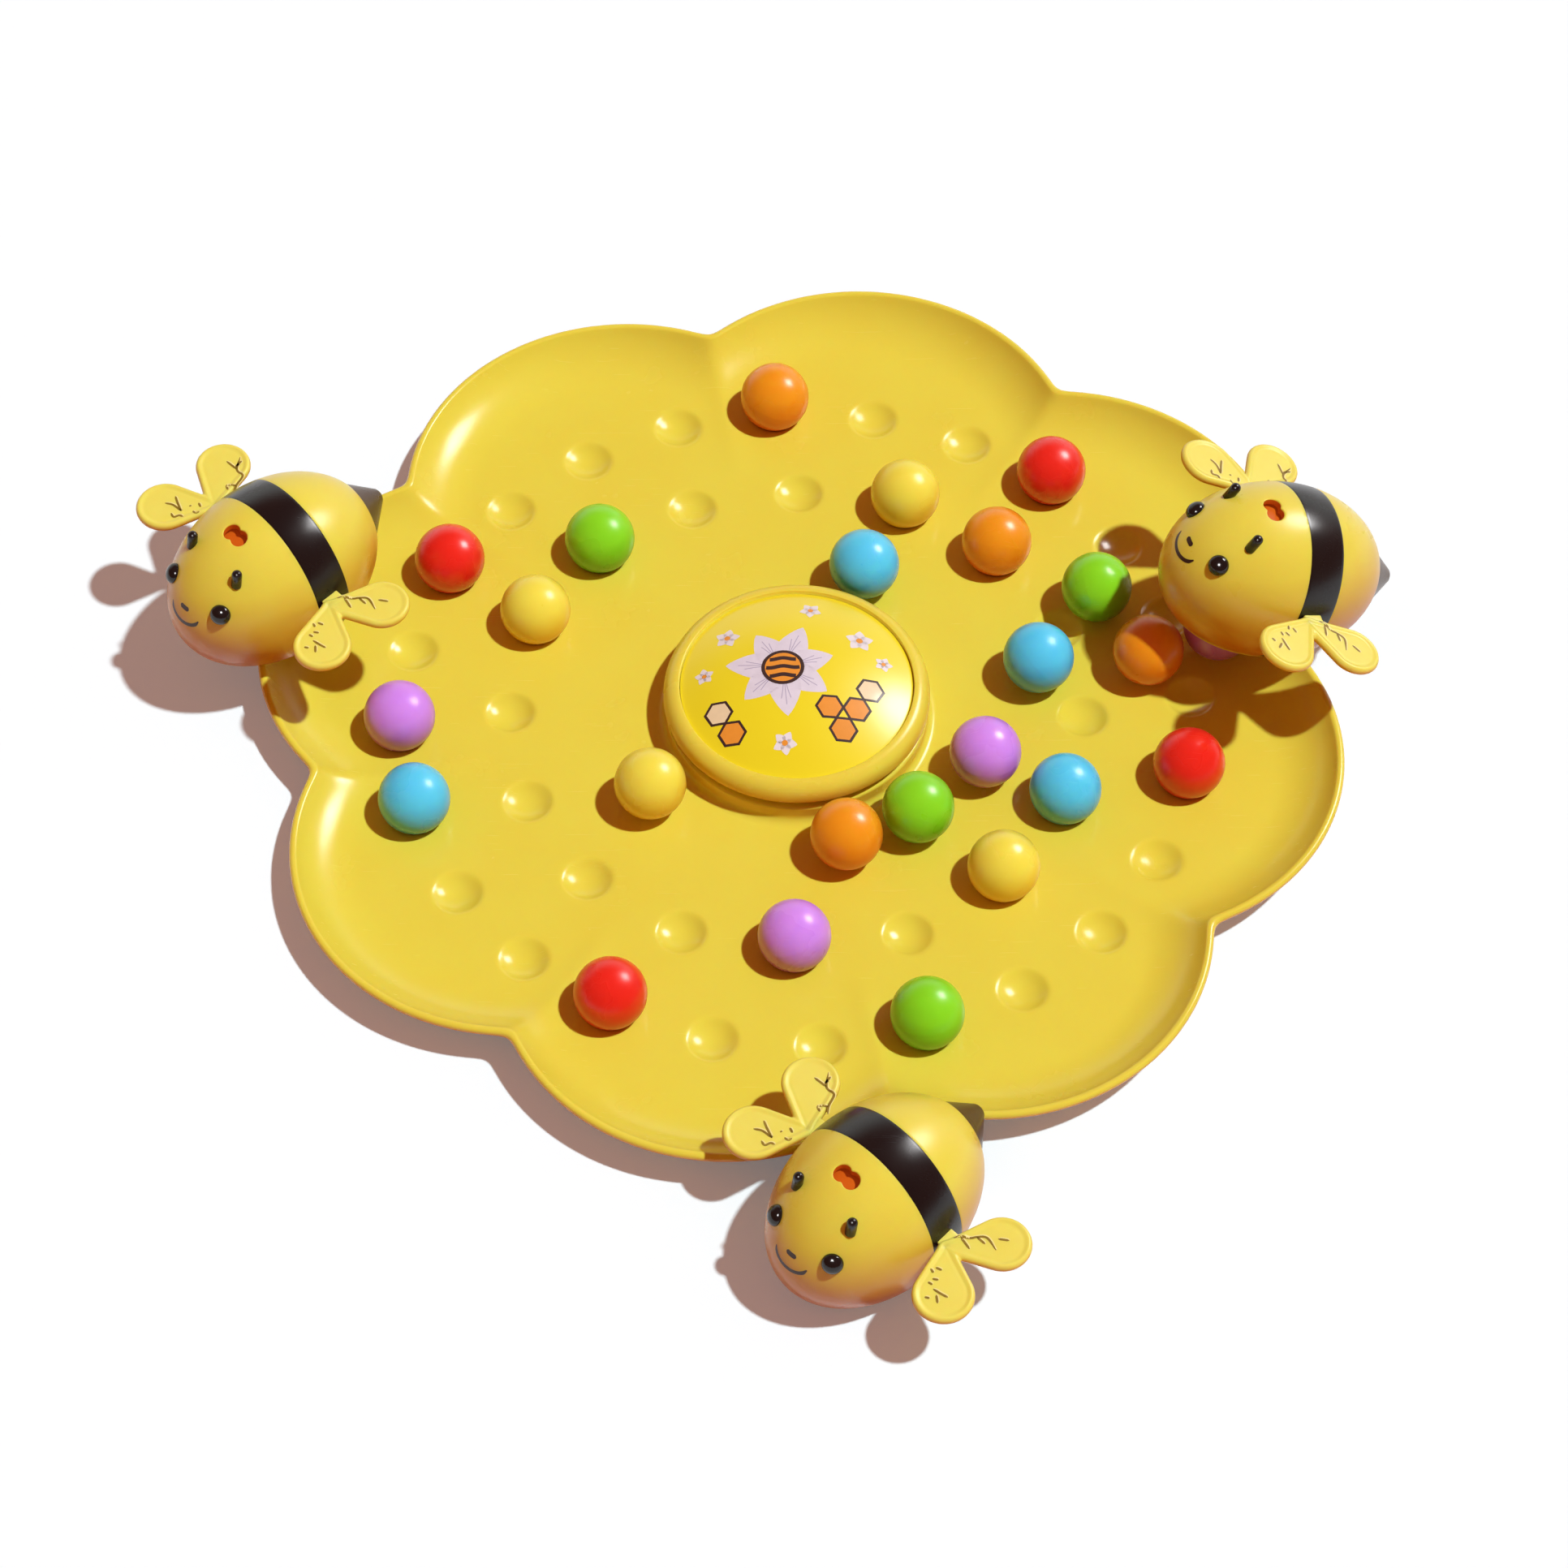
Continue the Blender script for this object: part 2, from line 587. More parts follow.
def petal_outline(x, y, heading, length, width):
    """A teardrop petal from its root."""
    along = np.linspace(0, 1, 15)
    half = width / 2 * np.sin(math.pi * along ** 0.72) ** 0.8
    left = [(a * length, h) for a, h in zip(along, half)]
    right = [(a * length, -h) for a, h in zip(along[::-1], half[::-1])][1:-1]
    turn = math.radians(heading)
    return [(x + u * math.cos(turn) - v * math.sin(turn), y + u * math.sin(turn) + v * math.cos(turn))
            for u, v in left + right]


def round_outline(x, y, radius, count=36):
    """A circle; six points make a honeycomb cell."""
    return [(x + radius * math.cos(a), y + radius * math.sin(a))
            for a in np.linspace(0, 2 * math.pi, count, endpoint=False)]


blossom_x, blossom_y = -3.5, 1.0
blossom_petals, blossom_turn = 7, 18
petal_long, petal_short, petal_width = 14.5, 13.2, 8.2
petal_veins = [(0, 0.78), (-11, 0.66), (11, 0.66)]
vein_width = 0.22
heart_rim, heart_radius = 5.4, 4.5
stripe_step, stripe_radius, stripe_width, stripe_wave = 2.6, 4.2, 1.15, 0.25
cell_rim, cell_radius = 3.75, 3.0
cells = [(15.0, -10.5), (18.4, -4.6), (11.6, -16.4), (8.2, -10.5), (-19.5, -11.0), (-16.1, -16.9)]
small_flowers = [(-17.5, 12.5, 2.6), (15.8, 11.2, 2.9), (3.5, 21.5, 2.3), (21.8, 4.4, 1.9),
                 (-3.0, -20.5, 2.5), (-23.2, 0.8, 2.0)]
garden = Print()
for k in range(blossom_petals):
    heading = blossom_turn + k * 360 / blossom_petals
    turn = math.radians(heading)
    long = petal_long if k % 2 else petal_short
    garden.shape(petal_outline(blossom_x, blossom_y, heading, long, petal_width), ink_petal, 1)
    for lean, reach in petal_veins:
        bend = math.radians(heading + lean)
        path = [(blossom_x + r * math.cos(turn + (bend - turn) * r / long),
                 blossom_y + r * math.sin(turn + (bend - turn) * r / long))
                for r in np.linspace(4, long * reach, 9)]
        garden.line(path, vein_width, ink_vein, 2)
garden.shape(round_outline(blossom_x, blossom_y, heart_rim), ink_brown, 3)
garden.shape(round_outline(blossom_x, blossom_y, heart_radius), ink_orange, 4)
for offset in (-stripe_step, 0.0, stripe_step):
    half = math.sqrt(stripe_radius ** 2 - offset ** 2)
    path = [(blossom_x + t, blossom_y + offset + stripe_wave * math.cos(t))
            for t in np.linspace(-half, half, 15)]
    garden.line(path, stripe_width, ink_brown, 5)
for k, (x, y) in enumerate(cells):
    garden.shape(round_outline(x, y, cell_rim, 6), ink_brown, 1)
    garden.shape(round_outline(x, y, cell_radius, 6), ink_cream if k % 3 == 1 else ink_orange, 2)
for x, y, size in small_flowers:
    for k in range(5):
        garden.shape(petal_outline(x, y, 90 + 72 * k + 9 * x, size * 1.25, size * 0.95), ink_white, 3)
    garden.shape(round_outline(x, y, size * 0.3, 14), ink_orange, 4)
print_art = mesh_piece("button_label_print", garden.points, garden.faces, None)
for finish in inks:
    print_art.data.materials.append(finish)
print_art.data.polygons.foreach_set("material_index", garden.inks)
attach(print_art, "button")

# Beads: hollow eighteen-millimetre balls in glossy coloured plastic, blown in two-part moulds, so
# each has a fine parting line round it and a small gate mark. They lie in dimples or on the floor.
bead_radius, bead_skin = 9.0, 0.03
seam_rise, seam_width = 0.035, 0.16
gate_depth, gate_width = 0.06, 0.05
bead_colours = {
    "orange": ((0.89, 0.360, 0.010), (0.86, 0.27, 0.006), (0.74, 0.100, 0.001)),
    "yellow": ((0.89, 0.83, 0.085), (0.87, 0.73, 0.050), (0.80, 0.400, 0.006)),
    "red": ((0.86, 0.022, 0.012), (0.77, 0.013, 0.008), (0.56, 0.001, 0.000)),
    "blue": ((0.098, 0.700, 0.98), (0.062, 0.59, 0.96), (0.030, 0.250, 0.600)),
    "green": ((0.265, 0.800, 0.018), (0.19, 0.69, 0.010), (0.100, 0.380, 0.001)),
    "violet": ((0.680, 0.310, 0.96), (0.57, 0.22, 0.93), (0.380, 0.080, 0.480)),
}
bead_plastics = {}
for name, (colour, deep, under) in bead_colours.items():
    bead_plastics[name] = plastic(name + " bead plastic", colour, deep, (0.25, 0.32), cloud=60.0, under=under,
                                  amount=0.3, grain=0.35, grain_scale=600.0, rubs=0.4, bleed=0.35,
                                  coat=0.3, coat_blur=0.38)


def bead_mesh():
    """A ball of even quads with a raised parting line and a sunk gate mark."""
    form = bmesh.new()
    bmesh.ops.create_cube(form, size=2.0)
    bmesh.ops.subdivide_edges(form, edges=form.edges[:], cuts=23, use_grid_fill=True)
    points = []
    for vertex in form.verts:
        x, y, z = [math.tan(c * math.pi / 4) for c in vertex.co]
        way = Vector((x, y, z)).normalized()
        seam = seam_rise * math.exp(-(way.z * bead_radius / seam_width) ** 2)
        gate = gate_depth * math.exp(-((way.x - 1) * bead_radius / gate_width) ** 2)
        vertex.co = way * (bead_radius - bead_skin + seam - gate) * mm
    mesh = bpy.data.meshes.new("bead")
    form.to_mesh(mesh)
    form.free()
    mesh.polygons.foreach_set("use_smooth", [True] * len(mesh.polygons))
    return mesh


ball = bead_mesh()
bead_names = sorted(name for name in node if name.startswith("bead_"))
for place, name in enumerate(bead_names):
    low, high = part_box(name)
    colour = name.split("_")[1]
    mesh = ball.copy()
    turn = Matrix.Rotation(1.1 + 0.9 * place, 4, "Z") @ Matrix.Rotation(0.55 + 0.37 * place, 4, "X")
    mesh.transform(Matrix.Translation((low + high) / 2) @ turn)
    mesh.materials.append(bead_plastics[colour])
    bead = bpy.data.objects.new(name.replace("bead", "ball"), mesh)
    bpy.context.scene.collection.objects.link(bead)
    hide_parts(name)
    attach(bead, name)

# Bees, body: two glossy yellow half shells of one egg form meet a black belt. The head has a
# peanut-shaped hole on top, the tail a round one for the stinger, and the belly is cut off flat.
stinger_joints = {joint["child"]: joint for joint in frame["joints"] if joint["type"] == "hinge"}
half_long, half_wide, half_high = 29.6, 21.1, 23.2
shell_wall = 1.8
belt_front, belt_rear = 1.9, -8.0
belly_cut = -15.0
hole_forward, hole_ball, hole_side = 9.7, 2.1, 1.4
hole_waist, hole_round = 1.72, 0.35
tail_hole, tail_round = 9.8, 0.3
tongue_reach, tongue_top, tongue_under = 2.0, 1.9, 3.1
shell_edge, belt_edge = 0.22, 0.15
lining_long, lining_wide = 7.0, 6.0
lining_top, lining_under = shell_wall + 0.9, shell_wall + 1.7
bee_yellow = plastic("glossy bee yellow", (0.81, 0.745, 0.085), (0.80, 0.66, 0.055), (0.27, 0.34), cloud=30.0,
                     amount=0.3, grain=0.3, rubs=0.35, bleed=0.38, coat=0.2, coat_blur=0.42,
                     specular=0.36, under=(0.600, 0.215, 0.005), under_share=1.0)
bee_inside = plastic("orange inner moulding", (0.62, 0.130, 0.008), (0.54, 0.085, 0.005), (0.35, 0.45),
                     cloud=40.0, grain=0.6, grain_scale=1200.0, glow=0.10)
belt_black = plastic("gloss black belt", (0.004, 0.004, 0.005), (0.008, 0.006, 0.006), (0.24, 0.30),
                     cloud=40.0, grain=0.3, rubs=0.4)


def bee_turn(number):
    """The matrix from a bee's own frame to the row frame, read from the axis of its stinger."""
    joint = stinger_joints["bee_%d_stinger" % number]
    ahead = Vector(joint["axis"])
    yaw = math.atan2(ahead.y, ahead.x)
    pitch = math.asin(ahead.z / ahead.length)
    place = Matrix.Translation(Vector(joint["pos_m"]))
    return place @ Matrix.Rotation(yaw, 4, "Z") @ Matrix.Rotation(-pitch, 4, "Y")


def place_on_bees(mesh, piece_name, node_name, body="bee_%d"):
    """Puts a copy of a mesh that is made in the bee's own frame on each bee."""
    for number in (1, 2, 3):
        own = mesh.copy()
        own.transform(bee_turn(number))
        piece = bpy.data.objects.new(piece_name % number, own)
        bpy.context.scene.collection.objects.link(piece)
        if node_name:
            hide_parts(node_name % number)
        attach(piece, body % number)


def finished(points, faces, materials, cuts=(), bevel=0.0, indices=None, name="form", bridge=True):
    """A mesh in metres; cuts are (point, outward normal) planes whose open rims are then closed."""
    form = bmesh.new()
    verts = [form.verts.new(p) for p in points]
    for place, face in enumerate(faces):
        made = form.faces.new([verts[i] for i in face])
        made.smooth = True
        made.material_index = indices[place] if indices is not None else 0
    for point, normal in cuts:
        everything = form.verts[:] + form.edges[:] + form.faces[:]
        bmesh.ops.bisect_plane(form, geom=everything, dist=1e-5, plane_co=point, plane_no=normal,
                               clear_outer=True)
    rim = [e for e in form.edges if e.is_boundary]
    if rim and bridge:
        bmesh.ops.bridge_loops(form, edges=rim)
    elif rim:
        bmesh.ops.holes_fill(form, edges=rim, sides=0)
    for face in form.faces:
        face.smooth = True
    bmesh.ops.recalc_face_normals(form, faces=form.faces[:])
    if bevel:
        sharp = [e for e in form.edges if len(e.link_faces) == 2 and e.calc_face_angle(0) > 0.9]
        bmesh.ops.bevel(form, geom=sharp, offset=bevel, segments=2, profile=0.5, affect="EDGES",
                        clamp_overlap=True)
    for vertex in form.verts:
        vertex.co *= mm
    mesh = bpy.data.meshes.new(name)
    form.to_mesh(mesh)
    form.free()
    for material in materials:
        mesh.materials.append(material)
    return mesh


def front_shell_mesh():
    """Rings that spread from the peanut-shaped hole over the head, outside and inside."""
    columns = 160
    turns = np.linspace(0, 2 * math.pi, columns, endpoint=False)
    waist = hole_side * np.abs(np.sin(turns)) + np.sqrt(hole_ball ** 2 - (hole_side * np.cos(turns)) ** 2)
    soft = np.maximum(waist, hole_waist)
    outer_axes = np.array([half_long, half_wide, half_high])
    inner_axes = outer_axes - shell_wall
    pole = np.array([hole_forward / half_long, 0, math.sqrt(1 - (hole_forward / half_long) ** 2)])
    across = np.array([pole[2], 0, -pole[0]])
    sideways = np.array([0.0, 1.0, 0.0])

    def skin(axes, x, y):
        return axes[2] * np.sqrt(1 - (x / axes[0]) ** 2 - (y / axes[1]) ** 2)

    def plan(grow):
        return hole_forward + (soft + grow) * np.cos(turns), (soft + grow) * np.sin(turns)

    def spread(axes, rings):
        x, y = plan(hole_round)
        start = np.stack([x, y, skin(axes, x, y)], 1) / axes
        begin = np.arccos(np.clip(start @ pole, -1, 1))
        way = np.arctan2(start @ sideways, start @ across)
        found = []
        for share in rings:
            angle = begin + (math.pi - 0.02 - begin) * share
            away = np.cos(way)[:, None] * across + np.sin(way)[:, None] * sideways
            found.append((np.cos(angle)[:, None] * pole + np.sin(angle)[:, None] * away) * axes)
        return found

    rows = []
    for share in np.linspace(0, 1, 62)[:0:-1] ** 1.15:
        rows += spread(outer_axes, [share])
    for angle in np.linspace(0, math.pi / 2, 6):
        x, y = plan(hole_round * (1 - math.sin(angle)))
        rows.append(np.stack([x, y, skin(outer_axes, x, y) - hole_round * (1 - math.cos(angle))], 1))
    outside = (len(rows) - 1) * columns
    for share in (0.45, 1.0):
        x, y = plan(0.0)
        top = skin(outer_axes, x, y) - hole_round
        rows.append(np.stack([x, y, top + (skin(inner_axes, x, y) - top) * share], 1))
    for share in np.linspace(0, 1, 40)[1:] ** 1.15:
        rows += spread(inner_axes, [share])
    points = np.vstack(rows)
    faces = grid_faces(len(rows), columns)
    indices = [0 if place < outside else 1 for place in range(len(faces))]
    cuts = [((belt_front, 0, 0), (-1, 0, 0)), ((0, 0, belly_cut), (0, 0, -1))]
    return finished(points, faces, [bee_yellow, bee_inside], cuts, shell_edge, indices, "front")


def rear_shell_mesh():
    """Rings from the belt to the round tail hole, back inside to the belt."""
    columns = 144
    turns = np.linspace(0, 2 * math.pi, columns, endpoint=False)

    def ring(axes, share, grow=0.0):
        full = 1 / np.sqrt((np.cos(turns) / axes[1]) ** 2 + (np.sin(turns) / axes[2]) ** 2)
        begin = np.arcsin((tail_hole + grow) / full)
        end = math.acos(-belt_rear / axes[0])
        angle = begin + (end - begin) * share
        reach = full * np.sin(angle)
        return np.stack([-axes[0] * np.cos(angle), reach * np.cos(turns), reach * np.sin(turns)], 1)

    outer_axes = np.array([half_long, half_wide, half_high])
    inner_axes = outer_axes - shell_wall
    rows = [ring(outer_axes, share) for share in np.linspace(1, 0, 30)[:-1]]
    for angle in np.linspace(0, math.pi / 2, 5):
        edge_row = ring(outer_axes, 0.0, tail_round * (1 - math.sin(angle)))
        edge_row[:, 0] += tail_round * (1 - math.cos(angle))
        rows.append(edge_row)
    outside = len(rows) * columns
    rows += [ring(inner_axes, share) for share in np.linspace(0, 1, 18)]
    points = np.vstack(rows)
    faces = grid_faces(len(rows), columns)
    indices = [0 if place < outside else 1 for place in range(len(faces))]
    cuts = [((0, 0, belly_cut), (0, 0, -1))]
    return finished(points, faces, [bee_yellow, bee_inside], cuts, shell_edge, indices, "rear")


def belt_mesh():
    """The belt flush with the shells, with the tongue that reaches under both."""
    columns = 144
    turns = np.linspace(0, 2 * math.pi, columns, endpoint=False)

    def row(forward, inset):
        size = math.sqrt(1 - (forward / (half_long - inset)) ** 2)
        return np.stack([np.full_like(turns, forward), (half_wide - inset) * size * np.cos(turns),
                         (half_high - inset) * size * np.sin(turns)], 1)

    rows = [row(f, 0.0) for f in np.linspace(belt_rear, belt_front, 14)]
    ahead, behind = belt_front + tongue_reach, belt_rear - tongue_reach
    rows += [row(belt_front, tongue_top), row(ahead, tongue_top), row(ahead, tongue_under)]
    rows += [row(f, tongue_under) for f in np.linspace(belt_front, belt_rear, 5)]
    rows += [row(behind, tongue_under), row(behind, tongue_top), row(belt_rear, tongue_top)]
    rows.append(row(belt_rear, 0.0))
    points = np.vstack(rows)
    faces = grid_faces(len(rows) - 1, columns)
    last = (len(rows) - 2) * columns
    faces += [(last + c, last + (c + 1) % columns, (c + 1) % columns, c) for c in range(columns)]
    cuts = [((0, 0, belly_cut), (0, 0, -1))]
    return finished(points[:-columns], faces, [belt_black], cuts, belt_edge, None, "belt", False)


def lining_mesh():
    """The thin inner dish that shows through the peanut-shaped hole, just under the shell."""
    turns = np.linspace(0, 2 * math.pi, 48, endpoint=False)
    axes = np.array([half_long, half_wide, half_high])
    sizes = np.linspace(0.001, 1, 12)
    points = []
    for depth, rings in ((lining_top, sizes), (lining_under, sizes[::-1])):
        deep = axes - depth
        for size in rings:
            x = hole_forward + lining_long * size * np.cos(turns)
            y = lining_wide * size * np.sin(turns)
            z = deep[2] * np.sqrt(1 - (x / deep[0]) ** 2 - (y / deep[1]) ** 2)
            points += np.stack([x, y, z], 1).tolist()
    return finished(points, grid_faces(24, 48), [bee_inside], name="lining", bridge=False)


place_on_bees(front_shell_mesh(), "bee_%d_head", "bee_%d_front_shell")
place_on_bees(lining_mesh(), "bee_%d_lining", None)
place_on_bees(rear_shell_mesh(), "bee_%d_abdomen", "bee_%d_rear_shell")
place_on_bees(belt_mesh(), "bee_%d_belt", "bee_%d_band")

# Bees, belly: a flat matte plate with a round mouth, a ring of soft rubber fingers clipped into it
# that lets a bead in but not out, and three steel screws up into the shells.
belly_plastic = plastic("matte belly plate", (0.78, 0.58, 0.075), (0.72, 0.48, 0.05), (0.48, 0.58),
                        grain=1.0, grain_scale=1500.0, peel_depth=0.00005, rubs=0.5)
finger_rubber = plastic("soft orange rubber", (0.66, 0.20, 0.020), (0.58, 0.15, 0.014), (0.62, 0.72),
                        cloud=80.0, grain=1.2, grain_scale=2200.0, peel_depth=0.00005, rubs=0.1,
                        specular=0.35)
for number in (1, 2, 3):
    dress("bee_%d_base_plate" % number, belly_plastic)
    dress("bee_%d_catcher_ring" % number, finger_rubber)
    dress("bee_%d_base_screws" % number, screw_steel)

# Bees, stinger: a blunt brown plastic plug that closes the tail hole with a quarter turn, so that
# the swallowed beads can be poured out.
stinger_brown = plastic("dark brown stinger", (0.072, 0.036, 0.012), (0.050, 0.024, 0.009), (0.24, 0.31),
                        cloud=50.0, grain=0.3, rubs=0.5, specular=0.45)
for number in (1, 2, 3):
    dress("bee_%d_stinger_plug" % number, stinger_brown)

# Bees, wings: each side is one pale yellow plate of two rounded lobes with a soft raised rim, pushed
# with its tab into a slot of the belt. Short leaf-vein grooves rubbed with brown are laid on it as
# a brown line with a pale lip.
wing_yellow = plastic("satin wing yellow", (0.84, 0.80, 0.130), (0.82, 0.73, 0.085), (0.36, 0.44), cloud=70.0,
                      amount=0.4, grain=0.7, grain_scale=1300.0, peel_depth=0.00004, rubs=0.3, bleed=0.25,
                      under=(0.80, 0.40, 0.015))
vein_brown = plastic("brown rubbed groove", (0.23, 0.150, 0.012), (0.33, 0.23, 0.022), (0.5, 0.6),
                     cloud=300.0, amount=1.0, grain=1.0, grain_scale=2500.0)
vein_lip = plastic("pale groove lip", (0.90, 0.84, 0.300), (0.88, 0.80, 0.230), (0.4, 0.5), cloud=300.0,
                   amount=0.5, grain=0.6, grain_scale=2500.0)
wing_low, wing_root, root_radius = 3.8, 22.6, 1.7
wing_lobes = [(9.3, 30.8, 7.3), (-10.0, 31.0, 7.0)]
tab_rear, tab_front, tab_inner, tab_half = -4.5, 0.5, 16.5, 0.9
wing_top, wing_edge = 6.2, 0.9
rim_depth, rim_slope = 0.34, 1.1
dish_depth, dish_reach, dish_slope = 0.12, 2.6, 1.6
stroke_width, lip_width, lip_shift = 0.60, 0.80, 0.26
left_veins = [
    [(-6.2, -21.6), (-7.8, -23.0), (-10.7, -24.1), (-11.3, -25.1), (-11.5, -27.3), (-14.7, -29.8)],
    [(-7.8, -23.0), (-6.3, -24.9), (-5.4, -23.4)], [(-11.5, -27.3), (-11.3, -31.1)],
    [(-11.8, -28.2), (-14.2, -28.6)], [(8.8, -31.2), (7.7, -29.3), (7.5, -26.4)],
    [(5.5, -31.1), (6.4, -29.2), (7.5, -26.4)], [(9.8, -27.6), (10.1, -26.2), (8.7, -25.6), (8.3, -24.6)],
    [(5.3, -24.4), (5.4, -23.2), (4.4, -22.9)], [(2.6, -25.4), (3.1, -24.0)], [(4.7, -26.3), (4.8, -25.9)],
]
right_veins = [
    [(-2.8, 22.4), (-4.3, 23.2), (-5.7, 25.1), (-6.9, 25.9), (-8.4, 27.7), (-7.5, 31.4)],
    [(-4.3, 23.2), (-3.4, 26.9)], [(-6.9, 25.9), (-6.9, 28.5)], [(-10.0, 29.7), (-11.5, 31.8)],
    [(6.6, 24.2), (7.0, 25.4)], [(5.6, 24.8), (5.1, 26.3)], [(9.6, 26.2), (9.4, 27.4)],
    [(10.1, 28.3), (9.7, 30.6), (9.3, 32.2)], [(10.7, 29.9), (12.1, 31.6)], [(13.0, 28.4), (12.4, 29.4)],
    [(8.3, 26.3), (7.5, 27.5)],
]


def smooth_path(path, steps=5):
    """A Catmull-Rom line through a few points."""
    path = np.asarray(path, float)
    ends = np.vstack([2 * path[0] - path[1], path, 2 * path[-1] - path[-2]])
    found = []
    for k in range(1, len(ends) - 2):
        a, b, c, d = ends[k - 1:k + 3]
        for t in np.linspace(0, 1, steps, endpoint=False):
            found.append(0.5 * (2 * b + (c - a) * t + (2 * a - 5 * b + 4 * c - d) * t ** 2
                                + (3 * b - a - 3 * c + d) * t ** 3))
    return np.array(found + [path[-1]])


def ribbon(path, width, lift_point, points, faces):
    """Adds a ribbon that tapers at both ends; lift_point puts a flat place on its surface."""
    ahead = np.gradient(path, axis=0)
    ahead /= np.maximum(np.linalg.norm(ahead, axis=1), 1e-9)[:, None]
    share = np.linspace(0, 1, len(path))
    half = width / 2 * np.clip(np.minimum(share, 1 - share) * 5 + 0.35, 0, 1)
    side = np.stack([-ahead[:, 1], ahead[:, 0]], 1) * half[:, None]
    start = len(points)
    for point, across in zip(path, side):
        points.append(lift_point(*(point + across)))
        points.append(lift_point(*(point - across)))
    for step in range(len(path) - 1):
        base = start + 2 * step
        faces.append((base, base + 1, base + 3, base + 2))


def past_wing(x, y):
    """Distance outside the two lobes, each a hull of its round end and the root's circle."""
    found = []
    for ahead, side, radius in wing_lobes:
        length = math.hypot(ahead, side - wing_root)
        along_x, along_y = ahead / length, (side - wing_root) / length
        along = x * along_x + (y - wing_root) * along_y
        off = np.abs(x * along_y - (y - wing_root) * along_x)
        slope = (root_radius - radius) / length
        rise = math.sqrt(1 - slope * slope)
        reach = along * rise - off * slope
        hull = off * rise + along * slope - root_radius
        hull = np.where(reach < 0, np.hypot(off, along) - root_radius, hull)
        found.append(np.where(reach > rise * length, np.hypot(off, along - length) - radius, hull))
    soft = 0.35
    return -soft * np.log(sum(np.exp(-gap / soft) for gap in found))


def wing_dish(x, y):
    """Height of a wing's upper face inside its rim: a soft raised border and a dished middle."""
    inside = -past_wing(x, y)
    border = np.clip((inside - wing_edge) / rim_slope, 0, 1)
    fall = np.clip((dish_reach - inside) / dish_slope, 0, 1)
    return wing_top - rim_depth * border ** 2 * (3 - 2 * border) - dish_depth * fall * border


def wing_mesh():
    """One plate: rays from the root, a rounded rim, the same below, and the tab for the slot."""
    columns = 420
    turns = np.linspace(0, 2 * math.pi, columns, endpoint=False)

    def reach(level):
        low, high = np.full(columns, 0.2), np.full(columns, 24.0)
        for _ in range(30):
            middle = (low + high) / 2
            inside = past_wing(middle * np.cos(turns), wing_root + middle * np.sin(turns)) < level
            low, high = np.where(inside, middle, low), np.where(inside, high, middle)
        return low

    half = (wing_top - wing_low) / 2
    top_edge = reach(-wing_edge)
    rows = []
    for share in np.linspace(0.02, 1, 44):
        x, y = share * top_edge * np.cos(turns), wing_root + share * top_edge * np.sin(turns)
        rows.append(np.stack([x, y, wing_dish(x, y)], 1))
    for angle in np.linspace(0, math.pi, 13)[1:-1]:
        size = reach(-wing_edge * (1 - math.sin(angle)))
        x, y = size * np.cos(turns), wing_root + size * np.sin(turns)
        rows.append(np.stack([x, y, np.full(columns, wing_low + half + half * math.cos(angle))], 1))
    for share in (1.0, 0.5, 0.02):
        x, y = share * top_edge * np.cos(turns), wing_root + share * top_edge * np.sin(turns)
        rows.append(np.stack([x, y, np.full(columns, wing_low)], 1))
    points = np.vstack(rows).tolist()
    faces = grid_faces(len(rows), columns)
    middle, wide = (tab_rear + tab_front) / 2, (tab_front - tab_rear) / 2
    level = (wing_top + wing_low) / 2
    corners = 32
    around = np.linspace(0, 2 * math.pi, corners, endpoint=False)
    squarish = [np.sign(wave) * np.abs(wave) ** 0.3 for wave in (np.cos(around), np.sin(around))]
    start = len(points)
    stations = [(tab_inner, 0.6), (tab_inner + 0.1, 0.85), (tab_inner + 0.35, 1.0), (wing_root, 1.0),
                (wing_root + 0.3, 0.8)]
    for side, size in stations:
        for u, v in zip(*squarish):
            points.append((middle + wide * u * (1 - (1 - size) * 0.2), side, level + tab_half * v * size))
    faces += grid_faces(len(stations), corners, start)
    faces += [tuple(range(start, start + corners)), tuple(range(len(points) - corners, len(points)))[::-1]]
    return points, faces


wing_points, wing_faces = wing_mesh()
mirrored = [(x, -y, z) for x, y, z in wing_points]
both_faces = wing_faces + [tuple(i + len(wing_points) for i in face[::-1]) for face in wing_faces]
wing_pair = finished(wing_points + mirrored, both_faces, [wing_yellow], name="wings", bridge=False)
place_on_bees(wing_pair, "bee_%d_wing_plates", "bee_%d_wings")


def on_wing(shift, lift):
    """A place on a wing's dished face, for the strokes."""
    def place(x, y):
        return x - shift, y, float(wing_dish(x - shift, abs(y))) + lift
    return place


vein_points, vein_faces = [], []
for vein in left_veins + right_veins:
    ribbon(smooth_path(vein), lip_width, on_wing(lip_shift, 0.015), vein_points, vein_faces)
lips = len(vein_faces)
for vein in left_veins + right_veins:
    ribbon(smooth_path(vein), stroke_width, on_wing(0.0, 0.03), vein_points, vein_faces)
veins = bpy.data.meshes.new("veins")
veins.from_pydata((np.array(vein_points) * mm).tolist(), [], vein_faces)
veins.materials.append(vein_lip)
veins.materials.append(vein_brown)
veins.polygons.foreach_set("material_index", [0] * lips + [1] * (len(vein_faces) - lips))
place_on_bees(veins, "bee_%d_wing_veins", None)

# Bees, face: two glossy black domes as eyes and two short round-ended feelers, each on a peg through
# the shell. The smile and the small nose line are pad-printed in dark brown.
eye_forward, eye_side, eye_radius, eye_rise = 23.4, 9.1, 2.6, 1.9
feeler_forward, feeler_side, feeler_radius, feeler_length = 17.1, 8.6, 1.3, 4.4
feeler_lean = math.radians(10.0)
peg_radius, peg_length, seat_depth = 0.9, 2.0, 0.65
smile_width, nose_width = 0.98, 1.15


